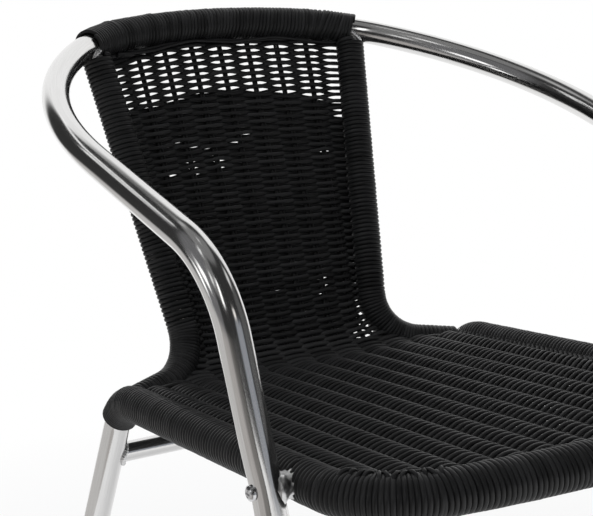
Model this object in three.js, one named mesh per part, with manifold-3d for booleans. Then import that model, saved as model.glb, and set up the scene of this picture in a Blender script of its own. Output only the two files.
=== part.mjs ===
// Stacking bistro armchair: a polished tube frame with a wicker back and seat.
// Millimetres, +Z up. The sitter faces -Y and the origin is on the floor.
import * as THREE from 'three';
import { mergeVertices } from 'three/addons/utils/BufferGeometryUtils.js';
import Module from 'manifold-3d';

const wasm = await Module();
wasm.setup();

// Clearances
const GAP = 0.35;
const OVERRUN = 4;

// Frame tubes
const TUBE_RADIUS = 12.5;
const TUBE_WALL = 1.8;
const STILE_RADIUS = 11;
const BAR_RADIUS = 9.5;

// Arm tube: a flat U, tilted down to the front, whose ends bend down into the front legs
const BACK_RAIL_Y = 297;
const BACK_RAIL_Z = 728;
const ARM_RADII = [390, 159, 325];
const ARM_TURN_SHARES = [0.0432, 0.087, 0.1309];
const ARM_TILT_SHARE = 0.0459;
const ARM_STRAIGHT = 135.6;
const ARM_BEND_RADIUS = 82.8;
const FRONT_LEG_IN_SHARE = 0.1156;
const FRONT_LEG_FORWARD_SHARE = 0.1715;

// Seat tube: front rail, side rails and rear legs in one length
const RAIL_SPLAY_SHARE = 0.005;
const REAR_BEND_Y = 117;
const REAR_BEND_Z = 397.8;
const REAR_BEND_RADIUS = 45;
const FRONT_CORNER_REACH = 74;
const FRONT_CORNER_RADIUS = 60;
const FRONT_POINT_REACH = 34.4;
const FRONT_BOW_RADIUS = 860;
const SEAT_RISE_SHARE = 0.1;
const REAR_LEG_OUT_SHARE = 0.1;
const REAR_LEG_BACK_SHARE = 0.33;

// Back stiles: down from the back rail, then out to the rear bends
const STILE_TOP_X = 154;
const STILE_FOOT_X = 106;
const STILE_FOOT_Y = 147;
const STILE_FOOT_Z = 402;
const STILE_BEND_RADIUS = 50;

// Rear cross bar
const BAR_Z = 338;

// Arm fixing: a screw through the front leg and a saddle into a rivet nut in the side rail
const SADDLE_ROOM = 7.8;
const SCREW_RADIUS = 3;
const SCREW_HOLE_RADIUS = 3.6;
const SCREW_HEAD_RADIUS = 5.6;
const SCREW_HEAD_HEIGHT = 3.2;
const SCREW_TIP_PAST_NUT = 3;
const RECESS_SPAN = 5.6;
const RECESS_WIDTH = 1.3;
const RECESS_DEPTH = 1.9;
const SPOT_FACE_RADIUS = 7.5;
const SPOT_FACE_DEPTH = 0.7;
const SADDLE_RADIUS = 12;
const NUT_SLEEVE_RADIUS = 4.3;
const NUT_BULGE_RADIUS = 5.6;
const NUT_FLANGE_RADIUS = 6.2;
const NUT_FLANGE = 1;
const NUT_BULGE = 3.5;
const NUT_LENGTH = 12;

// Weld beads
const BEAD = 2.8;

// Foot glides
const GLIDE_RADIUS = 14;
const GLIDE_FLOOR_RADIUS = 11;
const GLIDE_HEIGHT = 9;
const GLIDE_RIM = 3;
const GLIDE_PLUG = 16;
const GLIDE_CHAMFER = 1.5;

// Wicker
const STRAND = 3;
const STAKE_HALF = 4.2;
const STAKE_GROOVE_SHARE = 0.4;
const STAKES_EACH_SIDE = 6;
const LONG_STAKES_EACH_SIDE = 3;
const STAKE_PITCH_TOP = 33;
const STAKE_EDGE_ROOM = 7;
const WEFT_SLACK = 0.8;
const FOLD_REST = 2.2;
const WEFT_WIDTH_SHARE = 0.84;
const BACK_ROWS = 15;
const BEND_ROWS = 4;
const SEAT_ROWS = 17;
const SEAT_LIFT = 5;
const SEAT_SAG = 7;
const SHEET_BEND_RADIUS = 60;
const SHEET_TOP_ROOM = 8;
const TIE_HALF = 2;
const TIE_LIFT = 0.6;
const TIE_REACH_SHARE = 0.85;

// Windings
const WINDING = 3;
const WINDING_ROOM = 0.8;
const WINDING_BEND_ROOM = 1.2;
const WINDING_FILL_SHARE = 0.84;
const WINDING_CROWN_SHARE = 0.5;
const TOP_LOOPS = 17;
const STILE_LOOPS = 16;
const RAIL_LOOPS = 11;
const CORNER_LOOPS = 5;
const FRONT_LOOPS = 15;
const WINDING_STEPS = 8;
const WRAP_REST = 3;

// Facet counts
const TUBE_SIDES = 12;
const STAKE_STEPS = 4;
const ARC_STEPS = 6;
const BOW_STEPS = 4;
const STILE_BEND_STEPS = 8;
const ARM_STEPS = [2, 3, 4];

// Shares of a stake pitch, or of one stretch of the sheet, that searches step by
const SEARCH_SHARE = 0.005;
const FINE_SHARE = 0.0002;
const SLOPE_SHARE = 0.02;

const metal = { color: 0xd5d7da, roughness: 0.16, metalness: 1 };
const weld = { color: 0xb9bbbe, roughness: 0.45, metalness: 1 };
const steel = { color: 0xc4c6c9, roughness: 0.25, metalness: 1 };
const wicker = { color: 0x18181a, roughness: 0.55, metalness: 0 };
const plastic = { color: 0x101012, roughness: 0.6, metalness: 0 };

const chair = new THREE.Group();

// Vector helpers
const V = (x, y, z) => new THREE.Vector3(x, y, z);
const lerp = (a, b, t) => a.clone().lerp(b, t);
const along = (p, d, s) => p.clone().addScaledVector(d, s);
const mirrored = (p) => V(-p.x, p.y, p.z);
const toward = (a, b) => b.clone().sub(a).normalize();
const turns = (share) => share * Math.PI * 2;

// A BufferGeometry from points and triangles, with its faces turned out
function solid(points, faces) {
  let six = 0;
  for (const [a, b, c] of faces) {
    six += points[a].dot(points[b].clone().cross(points[c]));
  }
  const index = faces.flatMap(([a, b, c]) => (six < 0 ? [a, c, b] : [a, b, c]));
  const g = new THREE.BufferGeometry();
  g.setAttribute(
    'position',
    new THREE.Float32BufferAttribute(points.flatMap((p) => [p.x, p.y, p.z]), 3),
  );
  g.setIndex(index);
  g.computeVertexNormals();
  return g;
}

// A closed skin through rings of equal count, fanned shut at each end
function loft(rings) {
  const n = rings[0].length;
  const last = rings.length - 1;
  const points = rings.flat();
  const faces = [];
  for (let i = 0; i < last; i += 1) {
    for (let j = 0; j < n; j += 1) {
      const a = i * n + j;
      const b = i * n + ((j + 1) % n);
      faces.push([a, b, b + n], [a, b + n, a + n]);
    }
  }
  for (const [ring, turned] of [[0, true], [last, false]]) {
    const centre = rings[ring].reduce((s, p) => s.add(p), V(0, 0, 0)).divideScalar(n);
    const c = points.push(centre) - 1;
    for (let j = 0; j < n; j += 1) {
      const a = ring * n + j;
      const b = ring * n + ((j + 1) % n);
      faces.push(turned ? [b, a, c] : [a, b, c]);
    }
  }
  return solid(points, faces);
}

// A tube wall between outer and inner rings, open at both ends
function pipe(outer, inner) {
  const n = outer[0].length;
  const last = outer.length - 1;
  const points = [...outer.flat(), ...inner.flat()];
  const shift = outer.length * n;
  const faces = [];
  for (let i = 0; i <= last; i += 1) {
    for (let j = 0; j < n; j += 1) {
      const a = i * n + j;
      const b = i * n + ((j + 1) % n);
      if (i < last) {
        faces.push([a, b, b + n], [a, b + n, a + n]);
        faces.push([b + shift, a + shift, b + n + shift], [b + n + shift, a + shift, a + n + shift]);
      }
      if (i === 0) {
        faces.push([b, a, a + shift], [b, a + shift, b + shift]);
      }
      if (i === last) {
        faces.push([a, b, a + shift], [b, b + shift, a + shift]);
      }
    }
  }
  return solid(points, faces);
}

// Booleans
function toSolid(geometry) {
  const bare = geometry.clone();
  bare.deleteAttribute('normal');
  bare.deleteAttribute('uv');
  const merged = mergeVertices(bare);
  return new wasm.Manifold(
    new wasm.Mesh({
      numProp: 3,
      vertProperties: new Float32Array(merged.attributes.position.array),
      triVerts: new Uint32Array(merged.index.array),
    }),
  );
}

function fromSolid(made) {
  const mesh = made.getMesh();
  const g = new THREE.BufferGeometry();
  g.setAttribute('position', new THREE.BufferAttribute(mesh.vertProperties, 3));
  g.setIndex(new THREE.BufferAttribute(mesh.triVerts, 1));
  g.computeVertexNormals();
  return g;
}

function cut(geometry, tools) {
  let made = toSolid(geometry);
  for (const tool of tools) {
    made = made.subtract(toSolid(tool));
  }
  return fromSolid(made);
}

// A centreline with its length and a frame that never twists
function centreline(points) {
  const s = [0];
  for (let i = 1; i < points.length; i += 1) {
    s.push(s[i - 1] + points[i].distanceTo(points[i - 1]));
  }
  const frames = points.map((p, i) => {
    const a = points[Math.max(i - 1, 0)];
    const b = points[Math.min(i + 1, points.length - 1)];
    const back = i > 0 ? toward(a, p) : toward(p, b);
    const fore = i < points.length - 1 ? toward(p, b) : back;
    return { t: back.clone().add(fore).normalize() };
  });
  let n = V(0, 0, 1);
  for (const f of frames) {
    n = along(n, f.t, -n.dot(f.t)).normalize();
    f.n = n.clone();
    f.b = f.t.clone().cross(n);
  }
  return { points, s, frames, length: s[s.length - 1] };
}

function place(line, at) {
  let i = 1;
  while (i < line.s.length - 1 && line.s[i] < at) {
    i += 1;
  }
  const t = (at - line.s[i - 1]) / (line.s[i] - line.s[i - 1]);
  const f = line.frames[i - 1];
  const g = line.frames[i];
  return {
    p: lerp(line.points[i - 1], line.points[i], t),
    n: lerp(f.n, g.n, t).normalize(),
    b: lerp(f.b, g.b, t).normalize(),
  };
}

// The distance from a point to a centreline
function distanceTo(line, p) {
  let least = Infinity;
  for (let i = 1; i < line.points.length; i += 1) {
    const a = line.points[i - 1];
    const d = line.points[i].clone().sub(a);
    const t = Math.min(Math.max(p.clone().sub(a).dot(d) / d.lengthSq(), 0), 1);
    least = Math.min(least, along(a, d, t).distanceTo(p));
  }
  return least;
}

function ringsOf(line, radius) {
  return line.points.map((p, i) => {
    const { n, b } = line.frames[i];
    return Array.from({ length: TUBE_SIDES }, (_, j) => {
      const a = turns((j + 1 / 2) / TUBE_SIDES);
      return along(along(p, n, radius * Math.cos(a)), b, radius * Math.sin(a));
    });
  });
}

const rod = (line, radius) => loft(ringsOf(line, radius));
const tube = (line, radius) => pipe(ringsOf(line, radius), ringsOf(line, radius - TUBE_WALL));
const bolt = (a, b, radius) => rod(centreline([a, b]), radius);

// Tools that stay clear of a round of the given radius all along their flats
const FACET = Math.cos(Math.PI / TUBE_SIDES);
const hole = (a, b, radius) => bolt(a, b, radius / FACET);

// A run of corners, each rounded by its radius
function rounded(corners, radii, steps) {
  const out = [corners[0]];
  radii.forEach((radius, i) => {
    const corner = corners[i + 1];
    const back = toward(corner, corners[i]);
    const fore = toward(corner, corners[i + 2]);
    const half = back.angleTo(fore) / 2;
    const start = along(corner, back, radius / Math.tan(half));
    const inward = back.clone().add(fore).normalize();
    const centre = along(corner, inward, radius / Math.sin(half));
    const from = start.clone().sub(centre);
    const axis = from.clone().cross(back).normalize();
    for (let k = 0; k <= steps[i]; k += 1) {
      const a = (-(Math.PI - half * 2) * k) / steps[i];
      out.push(from.clone().applyAxisAngle(axis, a).add(centre));
    }
  });
  out.push(corners[corners.length - 1]);
  return out;
}

// Half of the arm tube from the middle of the back rail to the foot, at +X
function armHalf() {
  const tilt = turns(ARM_TILT_SHARE);
  const fore = V(0, -Math.cos(tilt), -Math.sin(tilt));
  const middle = V(0, BACK_RAIL_Y, BACK_RAIL_Z);
  const out = [middle];
  let heading = 0;
  let u = 0;
  let v = 0;
  ARM_RADII.forEach((radius, i) => {
    for (let k = 1; k <= ARM_STEPS[i]; k += 1) {
      const next = heading + (turns(ARM_TURN_SHARES[i]) * k) / ARM_STEPS[i];
      const du = radius * (Math.sin(next) - Math.sin(heading));
      const dv = radius * (Math.cos(heading) - Math.cos(next));
      out.push(along(along(middle, V(1, 0, 0), u + du), fore, v + dv));
      if (k === ARM_STEPS[i]) {
        u += du;
        v += dv;
        heading = next;
      }
    }
  });
  const ahead = along(fore.clone().multiplyScalar(Math.sin(heading)), V(1, 0, 0), Math.cos(heading));
  const leg = V(-FRONT_LEG_IN_SHARE, -FRONT_LEG_FORWARD_SHARE, -1).normalize();
  const half = (Math.PI - ahead.angleTo(leg)) / 2;
  const corner = along(out[out.length - 1], ahead, ARM_STRAIGHT + ARM_BEND_RADIUS / Math.tan(half));
  const foot = along(corner, leg, (corner.z - GLIDE_HEIGHT) / -leg.z);
  const bend = rounded([out[out.length - 1], corner, foot], [ARM_BEND_RADIUS], [ARC_STEPS]);
  return { points: [...out, ...bend.slice(1)], leg, corner };
}

const arm = armHalf();
const armLine = centreline([...arm.points.slice(1).reverse().map(mirrored), ...arm.points]);

// The seat tube from the right rear foot round the front to the left rear foot
const seatPlaneZ = (y) => REAR_BEND_Z + (REAR_BEND_Y - y) * SEAT_RISE_SHARE;
const legAt = (z) => along(arm.corner, arm.leg, (arm.corner.z - z) / -arm.leg.z);
const fixingY = legAt(seatPlaneZ(legAt(REAR_BEND_Z).y)).y;
const fixingZ = seatPlaneZ(fixingY);
const legX = legAt(fixingZ).x;
const railX = legX - TUBE_RADIUS * 2 - SADDLE_ROOM;
const railXAt = (y) => railX + (fixingY - y) * RAIL_SPLAY_SHARE;
const frontCornerY = fixingY - FRONT_CORNER_REACH;
const frontPointY = frontCornerY - FRONT_POINT_REACH;
const rearBend = V(railXAt(REAR_BEND_Y), REAR_BEND_Y, REAR_BEND_Z);
const rearLeg = V(REAR_LEG_OUT_SHARE, REAR_LEG_BACK_SHARE, -1).normalize();
const rearFoot = along(rearBend, rearLeg, (REAR_BEND_Z - GLIDE_HEIGHT) / -rearLeg.z);
const frontCorner = V(railXAt(frontCornerY), frontCornerY, seatPlaneZ(frontCornerY));
const frontPoint = V(0, frontPointY, seatPlaneZ(frontPointY));
const seatCorners = [rearFoot, rearBend, frontCorner];
const seatLine = centreline(
  rounded(
    [...seatCorners, frontPoint, ...seatCorners.slice().reverse().map(mirrored)],
    [REAR_BEND_RADIUS, FRONT_CORNER_RADIUS, FRONT_BOW_RADIUS, FRONT_CORNER_RADIUS, REAR_BEND_RADIUS],
    [ARC_STEPS, ARC_STEPS, BOW_STEPS, ARC_STEPS, ARC_STEPS],
  ),
);

// Where a centreline crosses a value of one axis, counted from its start
function crossing(line, axis, value, from = 0) {
  for (let i = 1; i < line.points.length; i += 1) {
    const a = line.points[i - 1][axis] - value;
    const b = line.points[i][axis] - value;
    if (line.s[i] > from && a !== b && a * b <= 0) {
      return line.s[i - 1] + ((line.s[i] - line.s[i - 1]) * a) / (a - b);
    }
  }
  return line.length;
}

// Back stiles
const stileTop = place(armLine, crossing(armLine, 'x', STILE_TOP_X)).p;
const stileFoot = V(STILE_FOOT_X, STILE_FOOT_Y, STILE_FOOT_Z);
const rearArcMiddle = seatLine.points[1 + ARC_STEPS / 2];
const stileLine = centreline(
  rounded([stileTop, stileFoot, rearArcMiddle], [STILE_BEND_RADIUS], [STILE_BEND_STEPS]),
);
const mirrorLine = (line) => centreline(line.points.map(mirrored));
const stileLines = [mirrorLine(stileLine), stileLine];

// Cross bar between the rear legs
const barEnd = along(rearBend, rearLeg, (REAR_BEND_Z - BAR_Z) / -rearLeg.z);
const barLine = centreline([mirrored(barEnd), barEnd]);

// Arm fixing: the screw runs along X where the front leg passes the side rail
const onAxis = (x, side) => V(x * side, fixingY, fixingZ);
const sides = [['left', -1], ['right', 1]];

const spotX = legX + TUBE_RADIUS - SPOT_FACE_DEPTH;
const railOuterX = railX + TUBE_RADIUS;
const flangeX = railOuterX + GAP;

const add = (name, geometry, look) => {
  const mesh = new THREE.Mesh(geometry, new THREE.MeshStandardMaterial(look));
  mesh.name = name;
  chair.add(mesh);
  return mesh;
};

const armCuts = sides.flatMap(([, side]) => [
  hole(onAxis(railOuterX, side), onAxis(spotX + OVERRUN, side), SCREW_HOLE_RADIUS),
  hole(onAxis(spotX, side), onAxis(spotX + OVERRUN, side), SPOT_FACE_RADIUS),
]);
add('arm_tube', cut(tube(armLine, TUBE_RADIUS), armCuts), metal);

const seatCuts = sides.map(([, side]) =>
  hole(onAxis(railX, side), onAxis(railOuterX + OVERRUN, side), NUT_SLEEVE_RADIUS + GAP),
);
add('seat_tube', cut(tube(seatLine, TUBE_RADIUS), seatCuts), metal);

const armFat = rod(armLine, TUBE_RADIUS + GAP);
const seatFat = rod(seatLine, TUBE_RADIUS + GAP);
const armBead = rod(armLine, TUBE_RADIUS + BEAD);
const seatBead = rod(seatLine, TUBE_RADIUS + BEAD);

// The fillet of weld where one tube lands on another
function bead(carrierBead, carrierFat, line, radius) {
  const ring = toSolid(rod(line, radius + BEAD)).intersect(toSolid(carrierBead));
  const open = ring.subtract(toSolid(carrierFat)).subtract(toSolid(rod(line, radius + GAP)));
  const pieces = open.decompose().sort((a, b) => b.volume() - a.volume());
  return fromSolid(pieces[0]);
}

sides.forEach(([name, side], i) => {
  const line = stileLines[i];
  const stile = cut(rod(line, STILE_RADIUS), [armFat, seatFat]);
  add(`back_stile_${name}`, stile, metal);
  add(`stile_top_weld_${name}`, bead(armBead, armFat, line, STILE_RADIUS), weld);
  add(`stile_foot_weld_${name}`, bead(seatBead, seatFat, line, STILE_RADIUS), weld);
  const barHalf = centreline([V(0, barEnd.y, barEnd.z), V(barEnd.x * side, barEnd.y, barEnd.z)]);
  add(`bar_weld_${name}`, bead(seatBead, seatFat, barHalf, BAR_RADIUS), weld);
});

add('rear_cross_bar', cut(rod(barLine, BAR_RADIUS), [seatFat]), metal);

for (const [name, side] of sides) {
  // Saddle between leg and rail
  const from = onAxis(railX, side);
  const to = onAxis(legX, side);
  const shank = hole(from, to, SCREW_HOLE_RADIUS);
  const counterbore = hole(from, onAxis(flangeX + NUT_FLANGE + GAP, side), NUT_FLANGE_RADIUS + GAP);
  const saddle = cut(bolt(from, to, SADDLE_RADIUS), [armFat, seatFat, shank, counterbore]);
  add(`leg_saddle_${name}`, saddle, weld);

  // Rivet nut, turned about the screw's axis
  const wallInside = (TUBE_RADIUS - TUBE_WALL) * FACET;
  const inWall = railX + Math.sqrt(wallInside ** 2 - NUT_BULGE_RADIUS ** 2) - GAP * 2;
  const bore = SCREW_RADIUS + GAP;
  const profile = [
    [bore, flangeX + NUT_FLANGE],
    [bore, flangeX - NUT_LENGTH],
    [NUT_SLEEVE_RADIUS, flangeX - NUT_LENGTH],
    [NUT_SLEEVE_RADIUS, inWall - NUT_BULGE],
    [NUT_BULGE_RADIUS, inWall - NUT_BULGE / 2],
    [NUT_SLEEVE_RADIUS, inWall],
    [NUT_SLEEVE_RADIUS, flangeX],
    [NUT_FLANGE_RADIUS, flangeX],
    [NUT_FLANGE_RADIUS, flangeX + NUT_FLANGE],
    [bore, flangeX + NUT_FLANGE],
  ];
  const nut = new THREE.LatheGeometry(profile.map(([r, h]) => new THREE.Vector2(r, h)), TUBE_SIDES);
  nut.rotateZ(-Math.PI / 2);
  nut.scale(side, side, 1);
  nut.translate(0, fixingY, fixingZ);
  add(`rivet_nut_${name}`, fromSolid(toSolid(nut)), steel);

  // Pan head screw with a cross recess
  const seat = spotX + GAP;
  const headTop = seat + SCREW_HEAD_HEIGHT;
  const tip = flangeX - NUT_LENGTH - SCREW_TIP_PAST_NUT;
  const screwProfile = [
    [0, tip],
    [SCREW_RADIUS, tip],
    [SCREW_RADIUS, seat],
    [SCREW_HEAD_RADIUS, seat],
    [SCREW_HEAD_RADIUS, seat + SCREW_HEAD_HEIGHT / 2],
    [(SCREW_HEAD_RADIUS * 2) / 3, headTop],
    [0, headTop],
  ];
  const screw = new THREE.LatheGeometry(
    screwProfile.map(([r, h]) => new THREE.Vector2(r, h)),
    TUBE_SIDES,
  );
  screw.rotateZ(-Math.PI / 2);
  const arms = [
    [RECESS_WIDTH, RECESS_SPAN],
    [RECESS_SPAN, RECESS_WIDTH],
  ].map(([wide, high]) => {
    const slot = new THREE.BoxGeometry(RECESS_DEPTH * 2, wide, high);
    return slot.translate(headTop, 0, 0);
  });
  const made = cut(screw, arms);
  made.scale(side, side, 1);
  made.translate(0, fixingY, fixingZ);
  add(`arm_screw_${name}`, made, steel);
}

// Foot glides: a plug in the tube, a rim under its end and a flat sole on the floor
function glide(foot, leg) {
  const up = leg.clone().negate();
  const top = along(foot, up, GLIDE_PLUG);
  const { n, b } = centreline([top, foot]).frames[0];
  const plug = (TUBE_RADIUS - TUBE_WALL) * FACET - GAP;
  const spokes = Array.from({ length: TUBE_SIDES }, (_, j) => {
    const a = turns((j + 1 / 2) / TUBE_SIDES);
    return along(n.clone().multiplyScalar(Math.cos(a)), b, Math.sin(a));
  });
  const ring = (centre, radius) => spokes.map((spoke) => along(centre, spoke, radius));
  const rim = along(foot, leg, GAP);
  const floor = along(foot, leg, foot.z / -leg.z);
  const sole = spokes.map((s) => along(floor, V(s.x, s.y, 0).normalize(), GLIDE_FLOOR_RADIUS));
  return loft([
    ring(top, plug - GLIDE_CHAMFER),
    ring(along(foot, up, GLIDE_PLUG - GLIDE_CHAMFER), plug),
    ring(rim, plug),
    ring(rim, GLIDE_RADIUS),
    ring(along(rim, leg, GLIDE_RIM), GLIDE_RADIUS),
    sole,
  ]);
}

const armFoot = arm.points[arm.points.length - 1];
for (const [name, side] of sides) {
  const flip = (v) => V(v.x * side, v.y, v.z);
  add(`front_glide_${name}`, glide(flip(armFoot), flip(arm.leg)), plastic);
  add(`rear_glide_${name}`, glide(flip(rearFoot), flip(rearLeg)), plastic);
}

// Windings: one unbroken strand whose section fills its share of each turn's pitch
const corner = Math.cos(Math.PI / WINDING_STEPS);
const wrapInside = (radius, room) => (radius + room) / corner;
const wrapRadius = (radius, room) => wrapInside(radius, room) + WINDING;
const TUBE_WRAP = wrapRadius(TUBE_RADIUS, WINDING_ROOM);
const CORNER_WRAP = wrapRadius(TUBE_RADIUS, WINDING_BEND_ROOM);
const STILE_WRAP = wrapRadius(STILE_RADIUS, WINDING_BEND_ROOM);
const stakeSpan = rearBend.x - TUBE_WRAP - STAKE_HALF - STAKE_EDGE_ROOM;
const stakePitchSeat = stakeSpan / STAKES_EACH_SIDE;

function winding(name, line, inner, from, to, loops) {
  const pitch = (to - from) / (loops + 1);
  const at = (s, a, r) => {
    const f = place(line, s);
    return along(along(f.p, f.n, r * Math.cos(a)), f.b, r * Math.sin(a));
  };
  const rings = [];
  for (let i = 0; i <= loops * WINDING_STEPS; i += 1) {
    const a = turns(i / WINDING_STEPS);
    const s = from + (pitch * (i / WINDING_STEPS + 1)) - pitch / 2;
    const span = (r, share) =>
      [share, -share].map((k) => at(s + (pitch * k * WINDING_FILL_SHARE) / 2, a, r));
    const [a0, b0] = span(inner, 1);
    const [a1, b1] = span(inner + WINDING, WINDING_CROWN_SHARE);
    rings.push([a0, b0, b1, a1]);
  }
  let least = Infinity;
  rings.forEach((ring, i) => {
    for (let j = i + WINDING_STEPS - 1; j <= i + WINDING_STEPS + 1 && j < rings.length; j += 1) {
      for (const p of ring) {
        for (const q of rings[j]) {
          least = Math.min(least, p.distanceTo(q));
        }
      }
    }
  });
  console.log(`${name}: ${loops} loops, least gap ${least.toFixed(2)} mm`);
  add(name, loft(rings), wicker);
  return rings.map((ring) => ring.map(mirrored));
}

// The same strand wound the other way round on the left
const pair = (name, ...rest) => add(`${name}_left`, loft(winding(`${name}_right`, ...rest)), wicker);

const topReach = STILE_TOP_X - STILE_RADIUS - BEAD - WRAP_REST;
const onTube = wrapInside(TUBE_RADIUS, WINDING_ROOM);
const onTubeBend = wrapInside(TUBE_RADIUS, WINDING_BEND_ROOM);
const onStile = wrapInside(STILE_RADIUS, WINDING_BEND_ROOM);
winding(
  'top_wrap',
  armLine,
  onTube,
  crossing(armLine, 'x', -topReach),
  crossing(armLine, 'x', topReach),
  TOP_LOOPS,
);

const railRear = seatLine.s[1 + ARC_STEPS] + WRAP_REST;
const saddleReach = SADDLE_RADIUS + WRAP_REST;
const railFore = crossing(seatLine, 'y', fixingY + saddleReach);
const cornerRear = crossing(seatLine, 'y', fixingY - saddleReach);
const cornerEnd = seatLine.s[2 + ARC_STEPS * 2] + WRAP_REST;
pair('rail_wrap', seatLine, onTube, railRear, railFore, RAIL_LOOPS);
pair('corner_wrap', seatLine, onTubeBend, cornerRear, cornerEnd, CORNER_LOOPS);
winding('front_wrap', seatLine, onTube, cornerEnd, seatLine.length - cornerEnd, FRONT_LOOPS);

const stileFrom = TUBE_RADIUS + BEAD + WRAP_REST * 2;
pair('stile_wrap', stileLine, onStile, stileFrom, stileLine.length - stileFrom, STILE_LOOPS);

// The woven sheet: k counts stakes from the middle, w runs down the back (0 to 1),
// round the bend (1 to 2) and along the seat to the front (2 to 3)
const stileAtTop = STILE_TOP_X / STAKE_PITCH_TOP;
function sheetCorners(k) {
  const x = Math.min(Math.abs(k), stileAtTop) * STAKE_PITCH_TOP * Math.sign(k);
  const rail = place(armLine, crossing(armLine, 'x', x, armLine.length / 4)).p;
  const seatX = k * stakePitchSeat;
  const sag = SEAT_SAG * Math.max(1 - (seatX / rearBend.x) ** 2, 0);
  const seatPoint = (y) => V(seatX, y, seatPlaneZ(y) + SEAT_LIFT - sag);
  const top = rail.clone();
  top.x = k * STAKE_PITCH_TOP;
  return [top, seatPoint(STILE_FOOT_Y), seatPoint(frontPointY)];
}

const sheetCache = new Map();
function sheetLine(k) {
  if (!sheetCache.has(k)) {
    const corners = sheetCorners(k);
    const down = toward(corners[0], corners[1]);
    corners[0] = along(corners[0], down, TUBE_WRAP + GAP);
    corners[2] = lerp(corners[1], corners[2], frontEnd(corners[1], corners[2]));
    const bend = rounded(corners, [SHEET_BEND_RADIUS], [2]);
    sheetCache.set(k, { corners, start: bend[1], end: bend[3] });
  }
  return sheetCache.get(k);
}

// How far along the seat a stake runs before one of its edges meets the wrapped front rail
function frontEnd(from, to) {
  const isClear = (t) => {
    const p = lerp(from, to, t);
    const edges = [-STAKE_HALF, 0, STAKE_HALF].map((x) => along(p, V(1, 0, 0), x));
    return edges.every((edge) => distanceTo(seatLine, edge) > CORNER_WRAP + GAP);
  };
  let t = 1 / 2;
  while (isClear(t + SEARCH_SHARE) && t < 1) {
    t += SEARCH_SHARE;
  }
  for (let step = SEARCH_SHARE / 2; step > FINE_SHARE; step /= 2) {
    t += isClear(t + step) ? step : 0;
  }
  return t;
}

function sheet(k, w) {
  const { corners, start, end } = sheetLine(k);
  if (w <= 1) {
    return lerp(corners[0], start, w);
  }
  if (w >= 2) {
    return lerp(end, corners[2], w - 2);
  }
  const back = toward(corners[1], corners[0]);
  const fore = toward(corners[1], corners[2]);
  const half = back.angleTo(fore) / 2;
  const centre = along(corners[1], back.clone().add(fore).normalize(), SHEET_BEND_RADIUS / Math.sin(half));
  const from = start.clone().sub(centre);
  const axis = from.clone().cross(end.clone().sub(centre)).normalize();
  return from.applyAxisAngle(axis, (Math.PI - half * 2) * (w - 1)).add(centre);
}

// The sheet's directions at a point: across, down and out to the sitter
function sheetFrame(k, w) {
  const d = SLOPE_SHARE;
  const across = sheet(k + d, w).sub(sheet(k - d, w)).normalize();
  const down = sheet(k, Math.min(w + d, 3)).sub(sheet(k, Math.max(w - d, 0))).normalize();
  const out = down.clone().cross(across).normalize();
  return { across, down, out: out.z - out.y < 0 ? out.negate() : out };
}

// Stakes: two thin strands lying tight side by side
function stake(k, w0, w1) {
  const bends = Array.from({ length: STAKE_STEPS + 1 }, (_, i) => 1 + i / STAKE_STEPS);
  const stops = [w0, ...bends.filter((w) => w > w0 + SLOPE_SHARE && w < w1), w1];
  const deep = STAKE_GROOVE_SHARE;
  const outline = [
    [1, 0], [1 / 2, 1], [0, deep], [-1 / 2, 1],
    [-1, 0], [-1 / 2, -1], [0, -deep], [1 / 2, -1],
  ];
  const ring = (w) => {
    const p = sheet(k, w);
    const f = sheetFrame(k, w);
    return outline.map(([x, t]) => along(along(p, f.across, x * STAKE_HALF), f.out, (t * STRAND) / 2));
  };
  return loft(stops.map(ring));
}

// Where a short stake starts, in front of the wrapped stile foot
function stakeStart(k) {
  const carrier = stileLines[k > 0 ? 1 : 0];
  let w = 2;
  while (distanceTo(carrier, sheet(k, w)) > STILE_WRAP + WRAP_REST && w > 1) {
    w -= SEARCH_SHARE;
  }
  return w;
}

const stakeFrom = new Map();
for (let k = -STAKES_EACH_SIDE; k <= STAKES_EACH_SIDE; k += 1) {
  const long = Math.abs(k) <= LONG_STAKES_EACH_SIDE;
  stakeFrom.set(k, long ? 0 : stakeStart(k));
  const number = String(k + STAKES_EACH_SIDE + 1).padStart(2, '0');
  add(`stake_${number}`, stake(k, stakeFrom.get(k), 3), wicker);
}

// Rows of the sheet
const rowsOf = (start, count) => Array.from({ length: count }, (_, i) => start + (i + 1 / 2) / count);
const topRoom = SHEET_TOP_ROOM / sheet(0, 0).distanceTo(sheet(0, 1));
const backRows = rowsOf(0, BACK_ROWS).map((w) => topRoom + w * (1 - topRoom));
const bendRows = rowsOf(1, BEND_ROWS);
const seatRows = rowsOf(2, SEAT_ROWS);
const halfRow = (w) => (w < 1 ? (1 - topRoom) / BACK_ROWS : w < 2 ? 1 / BEND_ROWS : 1 / SEAT_ROWS) / 2;

const WEFT_OFF = STRAND + WEFT_SLACK + GAP;
const offAt = (w) => (w > 1 && w < 2 ? WEFT_OFF + WEFT_SLACK : WEFT_OFF);

// The furthest place on a row, in stakes, where the strand can turn clear of the wraps
function turnAt(w, side) {
  const room = FOLD_REST + STRAND;
  const clear = (k) => {
    const p = sheet(k * side, w);
    const rail = distanceTo(seatLine, p) - TUBE_WRAP;
    const stile = distanceTo(stileLines[side > 0 ? 1 : 0], p) - STILE_WRAP;
    return Math.min(rail, stile) > room;
  };
  let k = LONG_STAKES_EACH_SIDE;
  while (clear(k + SLOPE_SHARE) && k < STAKES_EACH_SIDE + 1) {
    k += SLOPE_SHARE;
  }
  return k;
}

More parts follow.
